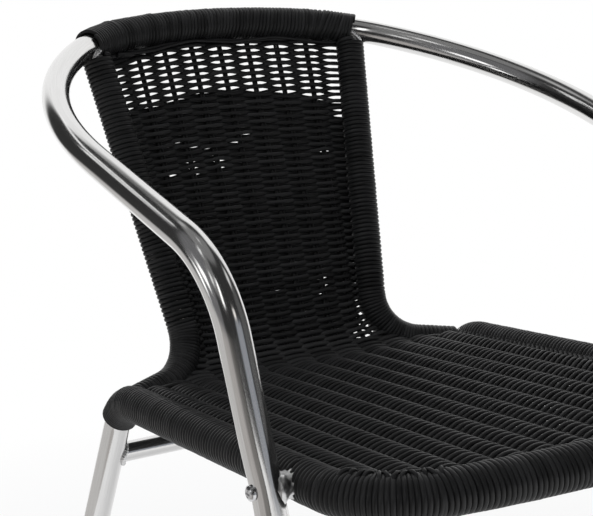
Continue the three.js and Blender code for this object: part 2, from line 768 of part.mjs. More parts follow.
// One strand woven to and fro, over one stake and under the next. At each end it folds
// round the last stake, so its other face is up on the way back.
function weft(rows) {
  const reach = rows.map((w) => {
    const k = turnAt(w, 1);
    const pitch = sheet(1, w).distanceTo(sheet(0, w));
    let last = Math.min(Math.floor(k - STAKE_HALF / pitch), STAKES_EACH_SIDE);
    while (stakeFrom.get(last) > w - halfRow(w)) {
      last -= 1;
    }
    return { k, last, pitch };
  });
  const rings = [];
  let face = 1;
  const push = (k, w, level, sideways = 0) => {
    const f = sheetFrame(k, w);
    const h = halfRow(w) * WEFT_WIDTH_SHARE;
    const half = sheet(k, Math.min(w + h, 3)).sub(sheet(k, Math.max(w - h, 0))).divideScalar(2);
    const centre = along(sheet(k, w), f.out, level);
    const thick = (sideways ? f.across : f.out).clone().multiplyScalar(((sideways || face) * STRAND) / 2);
    const corners = [[1, 1], [-1, 1], [-1, -1], [1, -1]];
    rings.push(corners.map(([p, q]) => along(along(centre, half, p), thick, q)));
  };
  let before = reach[0].last;
  rows.forEach((w, i) => {
    const side = i % 2 ? -1 : 1;
    const ahead = reach[Math.min(i + 1, rows.length - 1)];
    const next = Math.min(reach[i].last, ahead.last);
    const level = (k) => ((k + i + STAKES_EACH_SIDE * 2) % 2 ? -1 : 1) * offAt(w);
    for (let k = -side * before; side * k <= next; k += side) {
      push(k, w, level(k));
    }
    if (i < rows.length - 1) {
      const off = level(side * next);
      const { pitch } = reach[i];
      const out = Math.abs(off) / pitch;
      const near = next + (STAKE_HALF + GAP) / pitch;
      const walled = stakeFrom.get(next + 1) < rows[i + 1] + halfRow(w);
      const wall = walled ? next + 1 - (STAKE_HALF + STRAND) / pitch : Infinity;
      const k = side * Math.max(Math.min(reach[i].k, ahead.k, wall) - out, near);
      push(k, w, off);
      push(k + side * out, (w + rows[i + 1]) / 2, 0, Math.sign(off) * side * face);
      face = -face;
      push(k, rows[i + 1], -off);
    }
    before = next;
  });
  return loft(rings);
}

add('back_weave', weft([...backRows, ...bendRows.slice(0, BEND_ROWS / 2)]), wicker);
add('seat_weave', weft([...bendRows.slice(BEND_ROWS / 2), ...seatRows]), wicker);

// Tie strand, laid over the stake tops below the back rail
const tieStops = [-LONG_STAKES_EACH_SIDE - TIE_REACH_SHARE];
for (let k = -LONG_STAKES_EACH_SIDE; k <= LONG_STAKES_EACH_SIDE; k += 1 / 2) {
  tieStops.push(k);
}
tieStops.push(LONG_STAKES_EACH_SIDE + TIE_REACH_SHARE);
const tieRings = tieStops.map((k) => {
  const f = sheetFrame(k, topRoom / 2);
  const lift = STRAND / 2 + TIE_HALF + GAP + (Number.isInteger(k) ? TIE_LIFT : 0);
  const centre = along(sheet(k, topRoom / 2), f.out, lift);
  const ways = [[1, 0], [0, 1], [-1, 0], [0, -1]];
  return ways.map(([p, q]) => along(along(centre, f.down, p * TIE_HALF), f.out, q * TIE_HALF));
});
add('tie_strand', loft(tieRings), wicker);

export default chair;
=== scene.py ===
# Stacking bistro armchair: polished tubes with a wicker back and seat.
# Lengths are written in millimetres and turned into metres when a mesh is made.
import math

import bpy
import numpy as np
from mathutils import Matrix, Vector


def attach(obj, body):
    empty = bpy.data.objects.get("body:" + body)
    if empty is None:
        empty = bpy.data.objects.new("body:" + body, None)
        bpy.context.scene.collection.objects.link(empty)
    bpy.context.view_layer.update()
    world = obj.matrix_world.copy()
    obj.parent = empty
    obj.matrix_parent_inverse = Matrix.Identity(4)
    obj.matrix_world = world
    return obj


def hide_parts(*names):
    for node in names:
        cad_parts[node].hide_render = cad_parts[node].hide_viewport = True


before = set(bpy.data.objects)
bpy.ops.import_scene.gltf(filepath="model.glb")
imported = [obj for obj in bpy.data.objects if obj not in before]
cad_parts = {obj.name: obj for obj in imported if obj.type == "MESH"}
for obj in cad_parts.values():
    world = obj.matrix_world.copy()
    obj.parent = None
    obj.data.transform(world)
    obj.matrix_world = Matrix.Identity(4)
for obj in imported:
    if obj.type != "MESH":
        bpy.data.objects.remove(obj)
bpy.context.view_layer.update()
rng = np.random.default_rng(23)
scene = bpy.context.scene
MM = 0.001
# everything random comes from rng in the order of this file

# ---------------------------------------------------------------- camera
# fitted to the photograph: where it stands, where it looks, its roll and, in pixels,
# its focal length and the middle of its picture
PHOTO_WIDE, PHOTO_HIGH = 593, 516
FOCAL, MIDDLE_X, MIDDLE_Y = 1335.68, 163.83, 171.51
SENSOR = 36
ROLL = -0.031
eye = np.array([-688.1, -972.2, 803.7])
ahead = np.array([0.43759, 0.88487, -0.15974])
ahead /= np.linalg.norm(ahead)
level = np.cross(ahead, [0, 0, 1])
level /= np.linalg.norm(level)
above = np.cross(level, ahead)
right = level * math.cos(ROLL) + above * math.sin(ROLL)
up = -level * math.sin(ROLL) + above * math.cos(ROLL)
camera = bpy.data.objects.new("camera", bpy.data.cameras.new("camera"))
scene.collection.objects.link(camera)
turned = Matrix((right, up, -ahead)).transposed().to_4x4()
camera.matrix_world = Matrix.Translation(Vector(eye * MM)) @ turned
camera.data.sensor_fit = "HORIZONTAL"
camera.data.sensor_width = SENSOR
camera.data.lens = SENSOR * FOCAL / PHOTO_WIDE
camera.data.shift_x = (PHOTO_WIDE / 2 - MIDDLE_X) / PHOTO_WIDE
camera.data.shift_y = (MIDDLE_Y - PHOTO_HIGH / 2) / PHOTO_WIDE
camera.data.clip_end = 100
scene.camera = camera


# ---------------------------------------------------------------- geometry helpers
def vec(*v):
    return np.array(v, float)


def unit(v):
    v = np.asarray(v, float)
    return v / np.linalg.norm(v, axis=-1, keepdims=True)


def dot(a, b):
    return np.sum(a * b, axis=-1, keepdims=True)


def mirrored(p):
    return np.asarray(p) * (-1, 1, 1)


def spin(v, axis, a):
    """v turned by a round the axis, a unit vector"""
    return v * math.cos(a) + np.cross(axis, v) * math.sin(a) + axis * (axis @ v) * (1 - math.cos(a))


def rounded(corners, radii, steps):
    """Points of a run of corners, each rounded by its radius"""
    out = [corners[0]]
    for i, radius in enumerate(radii):
        corner = corners[i + 1]
        back = unit(corners[i] - corner)
        fore = unit(corners[i + 2] - corner)
        half = math.acos(float(np.clip(back @ fore, -1, 1))) / 2
        start = corner + back * radius / math.tan(half)
        centre = corner + unit(back + fore) * radius / math.sin(half)
        axis = unit(np.cross(start - centre, back))
        for k in range(steps[i] + 1):
            out.append(centre + spin(start - centre, axis, -(math.pi - half * 2) * k / steps[i]))
    out.append(corners[-1])
    return np.array(out)


class Line:
    """A centreline with its length and a frame that never twists"""

    def __init__(self, points, up=(0, 0, 1)):
        self.p = np.array(points, float)
        step = np.diff(self.p, axis=0)
        self.s = np.concatenate([[0], np.cumsum(np.linalg.norm(step, axis=1))])
        self.length = self.s[-1]
        step = unit(step)
        self.t = unit(np.vstack([step[:1], step[:-1] + step[1:], step[-1:]]))
        n = vec(*up)
        self.n = np.empty_like(self.p)
        for i, t in enumerate(self.t):
            n = unit(n - t * (n @ t))
            self.n[i] = n
        self.b = np.cross(self.t, self.n)

    def at(self, s):
        """Point, normal and binormal at the distances s"""

        def mix(a):
            return np.stack([np.interp(s, self.s, a[:, i]) for i in range(3)], -1)

        return mix(self.p), unit(mix(self.n)), unit(mix(self.b))

    def even(self, step):
        """Points about one step apart"""
        return self.at(np.linspace(0, self.length, int(self.length / step) + 2))[0]

    def crossing(self, axis, value, start=0.0):
        """Distance at which one coordinate first takes a value, past start"""
        a = self.p[:, axis] - value
        for i in range(1, len(a)):
            if self.s[i] > start and a[i - 1] != a[i] and a[i - 1] * a[i] <= 0:
                return self.s[i - 1] + (self.s[i] - self.s[i - 1]) * a[i - 1] / (a[i - 1] - a[i])
        return self.length


def nearest(cloud, points):
    """Distance from each point to a closely sampled line"""
    d2 = (points**2).sum(-1)[:, None] + (cloud**2).sum(-1)[None] - 2 * points @ cloud.T
    return np.sqrt(np.maximum(d2.min(1), 0))


class Skin:
    """Points and faces gathered for one piece, with each strand's own coordinates"""

    def __init__(self):
        self.points, self.grain, self.tone, self.quads, self.tris = [], [], [], [], []
        self.count = 0

    def loft(self, rings, grain=None, tone=0.5, loop=False):
        """Skins rings of equally many points; a run that isn't a loop gets capped ends"""
        rings = np.asarray(rings, float)
        m, n, _ = rings.shape
        i = np.arange(m if loop else m - 1)[:, None]
        j = np.arange(n)[None]
        ahead_ring = ((i + 1) % m) * n
        face = [i * n + j, i * n + (j + 1) % n, ahead_ring + (j + 1) % n, ahead_ring + j]
        self.quads.append(np.stack(face, -1).reshape(-1, 4) + self.count)
        points = [rings.reshape(-1, 3)]
        marks = [np.zeros((m * n, 3)) if grain is None else grain.reshape(-1, 3)]
        total = m * n
        if not loop:
            for ring, turned_round in ((0, True), (m - 1, False)):
                points.append(rings[ring].mean(0)[None])
                marks.append(marks[0][ring * n : ring * n + 1])
                a = ring * n + np.arange(n)
                b = ring * n + (np.arange(n) + 1) % n
                c = np.full(n, total)
                self.tris.append(np.stack([b, a, c] if turned_round else [a, b, c], -1) + self.count)
                total += 1
        self.points += points
        self.grain += marks
        tones = np.repeat(np.broadcast_to(tone, (m,)), n)
        self.tone.append(np.concatenate([tones, np.full(total - m * n, tones[-1])]))
        self.count += total

    def strand(self, points, radius, ref, sides=8, tone=None, loop=False, flat=1.0):
        """A strand along points, its radius times flat along ref, which isn't the strand's way"""
        points = np.asarray(points, float)
        if loop:
            t = unit(np.roll(points, -1, 0) - np.roll(points, 1, 0))
        else:
            t = unit(np.gradient(points, axis=0))
        ref = np.broadcast_to(ref, points.shape)
        n = unit(ref - t * dot(ref, t))
        b = np.cross(t, n)
        a = (np.arange(sides) + 0.5) / sides * 2 * math.pi
        r = np.broadcast_to(np.asarray(radius, float), (len(points),))[:, None, None]
        flat = np.broadcast_to(flat, (len(points),))[:, None, None]
        rings = points[:, None] + r * (
            n[:, None] * flat * np.cos(a)[None, :, None] + b[:, None] * np.sin(a)[None, :, None]
        )
        s = np.concatenate([[0], np.cumsum(np.linalg.norm(np.diff(points, axis=0), axis=1))])
        tone = rng.uniform(0, 1) if tone is None else tone
        if not loop:
            # a short rounded nose at each end
            nose, narrow = 0.45 * r[0, 0, 0], 0.55
            first = points[0] + (rings[0] - points[0]) * narrow - t[0] * nose
            last = points[-1] + (rings[-1] - points[-1]) * narrow + t[-1] * nose
            rings = np.concatenate([first[None], rings, last[None]])
            s = np.concatenate([[0], s, [s[-1]]])
            if np.ndim(tone):
                tone = np.concatenate([tone[:1], tone, tone[-1:]])
        shift = rng.uniform(0, 400)
        grain = np.empty(rings.shape)
        grain[..., 0] = np.cos(a)[None]
        grain[..., 1] = np.sin(a)[None]
        grain[..., 2] = s[:, None] + shift
        self.loft(rings, grain, tone, loop)


def piece(node, skin, slot, crisp=None):
    """Makes the mesh that stands for a node; edges sharper than crisp degrees stay sharp"""
    name = f"{node}_fine"
    points = np.concatenate(skin.points) * MM
    quads = np.concatenate(skin.quads)
    tris = np.concatenate(skin.tris) if skin.tris else np.empty((0, 3), int)
    mesh = bpy.data.meshes.new(name)
    mesh.vertices.add(len(points))
    mesh.vertices.foreach_set("co", points.astype(np.float32).ravel())
    loops = np.concatenate([quads.ravel(), tris.ravel()]).astype(np.int32)
    mesh.loops.add(len(loops))
    mesh.loops.foreach_set("vertex_index", loops)
    starts = np.concatenate([np.arange(len(quads)) * 4, len(quads) * 4 + np.arange(len(tris)) * 3])
    mesh.polygons.add(len(starts))
    mesh.polygons.foreach_set("loop_start", starts.astype(np.int32))
    mesh.update(calc_edges=True)
    mesh.validate()
    mesh.shade_smooth()
    if crisp:
        mesh.set_sharp_from_angle(angle=math.radians(crisp))
    grain = mesh.attributes.new("grain", "FLOAT_VECTOR", "POINT")
    grain.data.foreach_set("vector", np.concatenate(skin.grain).astype(np.float32).ravel())
    tone = mesh.attributes.new("tone", "FLOAT", "POINT")
    tone.data.foreach_set("value", np.concatenate(skin.tone).astype(np.float32))
    mesh.materials.append(LOOKS[slot])
    obj = bpy.data.objects.new(name, mesh)
    scene.collection.objects.link(obj)
    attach(obj, "root")
    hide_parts(node)


# ---------------------------------------------------------------- materials
def material(name, **values):
    """A Principled material with some inputs set: its nodes, links and shader come with it"""
    made = bpy.data.materials.new(name)
    made.use_nodes = True
    shader = made.node_tree.nodes["Principled BSDF"]
    for key, value in values.items():
        shader.inputs[key.replace("_", " ").title().replace("Ior", "IOR")].default_value = value
    return made, made.node_tree.nodes, made.node_tree.links, shader


def ramp(nodes, links, source, stops):
    node = nodes.new("ShaderNodeValToRGB")
    elements = node.color_ramp.elements
    while len(elements) < len(stops):
        elements.new(0.5)
    for element, (at, value) in zip(elements, stops):
        element.position = at
        element.color = (*value, 1) if isinstance(value, tuple) else (value, value, value, 1)
    links.new(source, node.inputs["Fac"])
    return node.outputs["Color"]


def noise(nodes, links, vector, scale, detail=3, stretch=None, rough=0.5):
    node = nodes.new("ShaderNodeTexNoise")
    node.inputs["Scale"].default_value = scale
    node.inputs["Detail"].default_value = detail
    node.inputs["Roughness"].default_value = rough
    if stretch:
        mapping = nodes.new("ShaderNodeMapping")
        mapping.inputs["Scale"].default_value = stretch
        links.new(vector, mapping.inputs["Vector"])
        vector = mapping.outputs["Vector"]
    links.new(vector, node.inputs["Vector"])
    return node.outputs["Fac"]


def attribute(nodes, name, output):
    node = nodes.new("ShaderNodeAttribute")
    node.attribute_name = name
    return node.outputs[output]


def bump(nodes, links, shader, height, distance, strength=1.0):
    node = nodes.new("ShaderNodeBump")
    node.inputs["Distance"].default_value = distance
    node.inputs["Strength"].default_value = strength
    links.new(height, node.inputs["Height"])
    links.new(node.outputs["Normal"], shader.inputs["Normal"])


def place(nodes):
    return nodes.new("ShaderNodeTexCoord").outputs["Object"]


def metal_look():
    """Polished drawn tube: fine lines along it and faint smears"""
    made, nodes, links, shader = material("polished_tube", metallic=1.0)
    grain = attribute(nodes, "grain", "Vector")
    lines = noise(nodes, links, grain, 2.2, 4, (9, 9, 0.012), 0.6)
    smear = noise(nodes, links, place(nodes), 14, 3)
    links.new(ramp(nodes, links, smear, [(0.3, 0.12), (0.75, 0.18)]), shader.inputs["Roughness"])
    tint = ramp(nodes, links, lines, [(0.25, (0.7, 0.695, 0.69)), (0.7, (0.8, 0.795, 0.79))])
    links.new(tint, shader.inputs["Base Color"])
    bump(nodes, links, shader, lines, 0.00001, 0.1)
    return made


def weld_look():
    made, nodes, links, shader = material("weld_bead", metallic=1.0)
    at = place(nodes)
    grit = noise(nodes, links, at, 900, 4)
    cloud = noise(nodes, links, at, 160, 3)
    links.new(ramp(nodes, links, cloud, [(0.3, 0.32), (0.7, 0.5)]), shader.inputs["Roughness"])
    tint = ramp(nodes, links, cloud, [(0.3, (0.66, 0.66, 0.66)), (0.7, (0.88, 0.88, 0.88))])
    links.new(tint, shader.inputs["Base Color"])
    bump(nodes, links, shader, grit, 0.0002, 0.5)
    return made


def steel_look():
    made, nodes, links, shader = material("plated_steel", metallic=1.0)
    cloud = noise(nodes, links, place(nodes), 600, 3)
    links.new(ramp(nodes, links, cloud, [(0.3, 0.16), (0.7, 0.3)]), shader.inputs["Roughness"])
    tint = ramp(nodes, links, cloud, [(0.3, (0.62, 0.62, 0.63)), (0.7, (0.76, 0.76, 0.77))])
    links.new(tint, shader.inputs["Base Color"])
    bump(nodes, links, shader, cloud, 0.00005, 0.6)
    return made


def wicker_look():
    """Black plastic strand: faint lines drawn along it, each strand a little different"""
    made, nodes, links, shader = material("black_strand", specular_ior_level=0.3)
    grain = attribute(nodes, "grain", "Vector")
    tone = attribute(nodes, "tone", "Fac")
    lines = noise(nodes, links, grain, 2.4, 3, (1.6, 1.6, 0.03), 0.6)
    dust = noise(nodes, links, place(nodes), 90, 4)
    add = nodes.new("ShaderNodeMath")
    add.operation = "MULTIPLY_ADD"
    add.inputs[1].default_value = 0.45
    links.new(tone, add.inputs[0])
    links.new(lines, add.inputs[2])
    dark, light = (0.004, 0.004, 0.0042), (0.0155, 0.0155, 0.016)
    tint = ramp(nodes, links, add.outputs[0], [(0.35, dark), (1, light)])
    links.new(tint, shader.inputs["Base Color"])
    links.new(ramp(nodes, links, dust, [(0.3, 0.38), (0.75, 0.52)]), shader.inputs["Roughness"])
    bump(nodes, links, shader, lines, 0.00016, 0.5)
    return made


def plastic_look():
    made, nodes, links, shader = material("glide_plastic", specular_ior_level=0.4)
    at = place(nodes)
    pores = noise(nodes, links, at, 1400, 3)
    scuffs = noise(nodes, links, at, 130, 4)
    tint = ramp(nodes, links, scuffs, [(0.35, (0.01, 0.01, 0.01)), (0.75, (0.03, 0.03, 0.031))])
    links.new(tint, shader.inputs["Base Color"])
    links.new(ramp(nodes, links, scuffs, [(0.3, 0.45), (0.7, 0.65)]), shader.inputs["Roughness"])
    bump(nodes, links, shader, pores, 0.0001, 0.6)
    return made


LOOKS = {
    "tube_metal": metal_look(),
    "weld_metal": weld_look(),
    "fastener_steel": steel_look(),
    "wicker": wicker_look(),
    "glide_plastic": plastic_look(),
}

# ---------------------------------------------------------------- sizes shared with the solids
TUBE, WALL, STILE, BAR = 12.5, 1.8, 11.0, 9.5
GLIDE_HEIGHT = 9.0
# arm tube: radius, share of a turn and steps of each arc from the middle of the back rail outwards
BACK_RAIL = (0, 297, 728)
ARM_TILT_SHARE = 0.0459
ARM_ARCS = ((390, 0.0432, 14), (159, 0.087, 18), (325, 0.1309, 30))
ARM_STRAIGHT, ARM_BEND_RADIUS, ARM_BEND_STEPS = 135.6, 82.8, 30
FRONT_LEG_WAY = (-0.1156, -0.1715, -1)
# seat tube
REAR_BEND_Y, REAR_BEND_Z, REAR_BEND_RADIUS = 117, 397.8, 45
SEAT_RISE_SHARE, RAIL_SPLAY_SHARE, SADDLE_ROOM = 0.1, 0.005, 7.8
FRONT_CORNER_REACH, FRONT_CORNER_RADIUS = 74, 60
FRONT_POINT_REACH, FRONT_BOW_RADIUS = 34.4, 860
REAR_LEG_WAY = (0.1, 0.33, -1)
ARC_STEPS = 24
# stiles and cross bar
STILE_TOP_X, STILE_FOOT, STILE_BEND_RADIUS, BAR_Z = 154.0, (106, 147, 402), 50, 338


def arm_half():
    """Centreline of the right half of the arm tube, its leg's direction and the corner above it"""
    tilt = ARM_TILT_SHARE * 2 * math.pi
    fore = vec(0, -math.cos(tilt), -math.sin(tilt))
    middle = vec(*BACK_RAIL)
    out, heading, u, v = [middle], 0.0, 0.0, 0.0
    for radius, share, steps in ARM_ARCS:
        for k in range(1, steps + 1):
            head = heading + share * 2 * math.pi * k / steps
            du = radius * (math.sin(head) - math.sin(heading))
            dv = radius * (math.cos(heading) - math.cos(head))
            out.append(middle + vec(u + du, 0, 0) + fore * (v + dv))
        u, v, heading = u + du, v + dv, head
    way = fore * math.sin(heading) + vec(math.cos(heading), 0, 0)
    leg = unit(vec(*FRONT_LEG_WAY))
    half = (math.pi - math.acos(float(way @ leg))) / 2
    corner = out[-1] + way * (ARM_STRAIGHT + ARM_BEND_RADIUS / math.tan(half))
    foot = corner + leg * (corner[2] - GLIDE_HEIGHT) / -leg[2]
    bend = rounded([out[-1], corner, foot], [ARM_BEND_RADIUS], [ARM_BEND_STEPS])
    return np.vstack([out, bend[1:]]), leg, corner


arm_points, leg_way, leg_corner = arm_half()
arm_line = Line(np.vstack([mirrored(arm_points[1:][::-1]), arm_points]))
# crossings on the back rail are looked for past this distance, which leaves out the left leg
past_leg = arm_line.length / 4


def seat_plane(y):
    """Height of the side rails"""
    return REAR_BEND_Z + (REAR_BEND_Y - y) * SEAT_RISE_SHARE


def leg_at(z):
    """Point of the right front leg's centreline"""
    return leg_corner + leg_way * (leg_corner[2] - z) / -leg_way[2]


def rail_x_at(y):
    return rail_x + (fix_y - y) * RAIL_SPLAY_SHARE


# the screw goes through leg and rail at fix_y, fix_z
fix_y = leg_at(seat_plane(leg_at(REAR_BEND_Z)[1]))[1]
fix_z = seat_plane(fix_y)
leg_x = leg_at(fix_z)[0]
rail_x = leg_x - TUBE * 2 - SADDLE_ROOM
corner_y = fix_y - FRONT_CORNER_REACH
front_y = corner_y - FRONT_POINT_REACH
rear_bend = vec(rail_x_at(REAR_BEND_Y), REAR_BEND_Y, REAR_BEND_Z)
rear_way = unit(vec(*REAR_LEG_WAY))
rear_foot = rear_bend + rear_way * (REAR_BEND_Z - GLIDE_HEIGHT) / -rear_way[2]
side = [rear_foot, rear_bend, vec(rail_x_at(corner_y), corner_y, seat_plane(corner_y))]
seat_corners = side + [vec(0, front_y, seat_plane(front_y))] + [mirrored(p) for p in side[::-1]]
seat_radii = [REAR_BEND_RADIUS, FRONT_CORNER_RADIUS]
seat_radii = seat_radii + [FRONT_BOW_RADIUS] + seat_radii[::-1]
seat_line = Line(rounded(seat_corners, seat_radii, [ARC_STEPS] * 5))
rear_arc_middle = seat_line.p[1 + ARC_STEPS // 2]

stile_top = arm_line.at(arm_line.crossing(0, STILE_TOP_X, past_leg))[0]
stile_foot = vec(*STILE_FOOT)
stile_line = Line(rounded([stile_top, stile_foot, rear_arc_middle], [STILE_BEND_RADIUS], [24]))
stile_lines = {1: stile_line, -1: Line(mirrored(stile_line.p))}
bar_end = rear_bend + rear_way * (REAR_BEND_Z - BAR_Z) / -rear_way[2]


# ---------------------------------------------------------------- tubes
def tube(node, line, radius, sides=40, open_ends=True, press=None):
    """A bent tube; press tells how far its surface is sunk at given points and directions"""
    skin = Skin()
    # rings at most 9 mm apart, so that the polish lines follow the length
    keep = [line.s[0]]
    for s in line.s[1:]:
        while s - keep[-1] > 9:
            keep.append(keep[-1] + 8)
        keep.append(s)
    s = np.array(keep)
    p, n, b = line.at(s)
    a = np.arange(sides) / sides * 2 * math.pi
    spokes = n[:, None] * np.cos(a)[:, None] + b[:, None] * np.sin(a)[:, None]
    sunk = press(p, spokes) if press else np.zeros(spokes.shape[:2])

    def ring(i, r, inwards=0.0):
        way = line.t[0] if i == 0 else -line.t[-1]
        return p[i] + (r - sunk[i])[:, None] * spokes[i] + way * inwards

    rings = [ring(i, radius) for i in range(len(s))]
    marks = list(s)
    if open_ends:
        lip, inner, depth = 0.5, radius - WALL, 24
        rings[0], rings[-1] = ring(0, radius, lip), ring(-1, radius, lip)
        head = [ring(0, inner, depth), ring(0, inner + lip), ring(0, radius - lip)]
        tail = [ring(-1, radius - lip), ring(-1, inner + lip), ring(-1, inner, depth)]
        rings = head + rings + tail
        marks = [s[0]] * 3 + marks + [s[-1]] * 3
    grain = np.empty((len(rings), sides, 3))
    grain[..., 0] = np.cos(a)[None]
    grain[..., 1] = np.sin(a)[None]
    grain[..., 2] = np.array(marks)[:, None]
    skin.loft(rings, grain)
    piece(node, skin, "tube_metal", 40)


def pressed(p, spokes):
    """The front legs are pressed flatter round their screws"""
    depth, spread, legs_from = 1.3, 22, 150
    near = np.exp(-(((p[:, 2] - fix_z) / spread) ** 2)) * (abs(p[:, 0]) > legs_from)
    facing = np.maximum(spokes[..., 0] * np.sign(p[:, :1]), 0)
    return depth * near[:, None] * facing**2


tube("arm_tube", arm_line, TUBE, 48, press=pressed)
tube("seat_tube", seat_line, TUBE)
for name, k in (("left", -1), ("right", 1)):
    line = stile_lines[k]
    # the ends stay inside the two tubes
    middle = line.s[(line.s > 8) & (line.s < line.length - 8)]
    inset = Line(line.at(np.concatenate([[7], middle, [line.length - 7]]))[0])
    tube(f"back_stile_{name}", inset, STILE, 32, False)
inside = vec(bar_end[0] - 6, bar_end[1], bar_end[2])
tube("rear_cross_bar", Line([mirrored(inside), inside]), BAR, 32, False)


# ---------------------------------------------------------------- welds
def bead(node, centre, way, branch, small):
    """A rippled bead where a branch of radius small lands on a tube that runs through centre"""
    way, branch = unit(way), unit(branch)
    u = unit(np.cross(branch, way))
    v = np.cross(branch, u)
    a = np.linspace(0, 2 * math.pi, 121)[:-1]
    root = centre - branch * 60 + small * (u * np.cos(a)[:, None] + v * np.sin(a)[:, None])

    def flat(p):
        return p - way * dot(p, way)

    # where each line of the branch's surface meets the tube's
    q, d = flat(root - centre), flat(branch[None])[0]
    qa, qb, qc = d @ d, 2 * q @ d, (q**2).sum(1) - TUBE**2
    t = (-qb - np.sqrt(np.maximum(qb**2 - 4 * qa * qc, 0))) / (2 * qa)
    p = root + branch * t[:, None]
    out = unit(flat(p - centre))
    around = unit(p - (centre + branch * dot(p - centre, branch)))
    ripple = 1 + 0.1 * np.sin(a * 34) + 0.07 * np.sin(a * 3 + 1.1)
    skin = Skin()
    skin.strand(p + (out + around) * 0.55, 2.5 * ripple, out + around, 12, 0.5, True)
    piece(node, skin, "weld_metal")


def tangent(line, s):
    return unit(line.at(s + 2)[0] - line.at(s - 2)[0])


rail_way = tangent(arm_line, arm_line.crossing(0, STILE_TOP_X, past_leg))
arc_way = seat_line.p[2 + ARC_STEPS // 2] - seat_line.p[ARC_STEPS // 2]
top_way = stile_foot - stile_top
foot_way = stile_line.p[-1] - stile_line.p[-2]
for name, k, flip in (("left", -1, mirrored), ("right", 1, np.asarray)):
    top, foot, bar = flip(stile_top), flip(rear_arc_middle), flip(bar_end)
    bead(f"stile_top_weld_{name}", top, flip(rail_way), flip(-top_way), STILE)
    bead(f"stile_foot_weld_{name}", foot, flip(arc_way), flip(foot_way), STILE)
    bead(f"bar_weld_{name}", bar, flip(rear_way), vec(k, 0, 0), BAR)


# ---------------------------------------------------------------- arm fixing
SPOT_FACE_DEPTH, HEAD_RADIUS, HEAD_HEIGHT, SCREW_RADIUS, SCREW_LENGTH = 0.7, 5.6, 3.2, 3, 26
RECESS_HALF_WIDTH, RECESS_REACH, RECESS_DEPTH = 0.65, 2.7, 1.8
spot_x = leg_x + TUBE - SPOT_FACE_DEPTH
sides = 96
a = np.arange(sides) / sides * 2 * math.pi


def disc_ring(k, x, r):
    """Points round the axis of the screw on side k, at x and with radius r"""
    return np.stack([np.full(sides, x) * k, fix_y + k * r * np.cos(a), fix_z + r * np.sin(a)], -1)


for name, k in (("left", -1), ("right", 1)):
    # spacer of run weld, lumpy and bright, with its ends inside the two tubes
    skin = Skin()
    waves = [(int(rng.integers(2, 12)), rng.uniform(0.15, 1.1), rng.uniform(0, 6.3)) for _ in range(14)]
    start, end = rail_x + 7, leg_x - 5
    rings = []
    for x in np.linspace(start, end, 40):
        t = (x - start) / (end - start)
        swell = 8.4 + 4.6 * t + 1.2 * math.sin(t * 9)
        lumps = sum(0.42 * np.sin(a * m + x * f + g) for m, f, g in waves)
        rings.append(disc_ring(k, x, swell + lumps * 0.55))
    skin.loft(np.array(rings))
    piece(f"leg_saddle_{name}", skin, "weld_metal")

    # pan head with a cross recess, drawn from its shank to the middle of its top
    skin = Skin()
    radii = np.concatenate([np.linspace(0.15, 4.2, 28), np.linspace(4.35, HEAD_RADIUS, 10)])
    seat = spot_x + 0.35
    shank = ((SCREW_RADIUS, seat - SCREW_LENGTH), (SCREW_RADIUS, seat - 1), (HEAD_RADIUS, seat - 1))
    rings = [disc_ring(k, x, r) for r, x in shank]
    for r in radii[::-1]:
        y, z = abs(r * np.cos(a)), abs(r * np.sin(a))
        dome = HEAD_HEIGHT - 1.5 * (r / HEAD_RADIUS) ** 4 - 0.25 * (r / HEAD_RADIUS) ** 2
        level_arm = np.maximum(y - RECESS_HALF_WIDTH, z - RECESS_REACH)
        upright_arm = np.maximum(z - RECESS_HALF_WIDTH, y - RECESS_REACH)
        cut = np.clip(0.5 - np.minimum(level_arm, upright_arm) / 0.3, 0, 1)
        rings.append(disc_ring(k, seat + dome - RECESS_DEPTH * (1 - r / 5.5) * cut, r))
    skin.loft(np.array(rings))
    piece(f"arm_screw_{name}", skin, "fastener_steel", 50)

    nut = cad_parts[f"rivet_nut_{name}"]
    nut.data.materials.clear()
    nut.data.materials.append(LOOKS["fastener_steel"])


# ---------------------------------------------------------------- foot glides
def glide(node, foot, way):
    """A plug and rim square to the leg, then a foot that turns to lie flat on the floor"""
    skin = Skin()
    way = unit(way)
    side_way = unit(np.cross(way, [1, 0, 0]))
    other = np.cross(way, side_way)
    sides = 48
    a = np.arange(sides) / sides * 2 * math.pi
    spoke = side_way * np.cos(a)[:, None] + other * np.sin(a)[:, None]
    plug = TUBE - WALL - 0.35
    # radius and distance below the tube's end
    turned_part = ((plug - 1.5, -16), (plug, -14.5), (plug, 0.35), (13.6, 0.35), (14, 0.8), (14, 3.0))
    rings = [foot + way * h + spoke * r for r, h in turned_part]
    floor = foot + way * foot[2] / -way[2]
    flat = unit(spoke * (1, 1, 0))
    rim = rings[-1]
    # radius and height as a share of the rim's
    for r, share in ((13.2, 0.5), (11.8, 0.15)):
        ring = floor + flat * r
        ring[:, 2] = rim[:, 2] * share
        rings.append(ring)
    rings.append(floor + flat * 11)
    rings.append(floor + flat * 10.2)
    rings[-1][:, 2] = 0.0
    skin.loft(np.array(rings))
    piece(node, skin, "glide_plastic", 35)


for name, flip in (("left", mirrored), ("right", np.asarray)):
    glide(f"front_glide_{name}", flip(arm_points[-1]), flip(leg_way))
    glide(f"rear_glide_{name}", flip(rear_foot), flip(rear_way))


# ---------------------------------------------------------------- windings
def smooth_noise(count, size, spacing, at):
    """Random values every so many steps, joined by straight lines and read at the steps given"""
    knots = rng.normal(0, size, int(count / spacing) + 3)
    return np.interp(at / spacing, np.arange(len(knots)), knots)


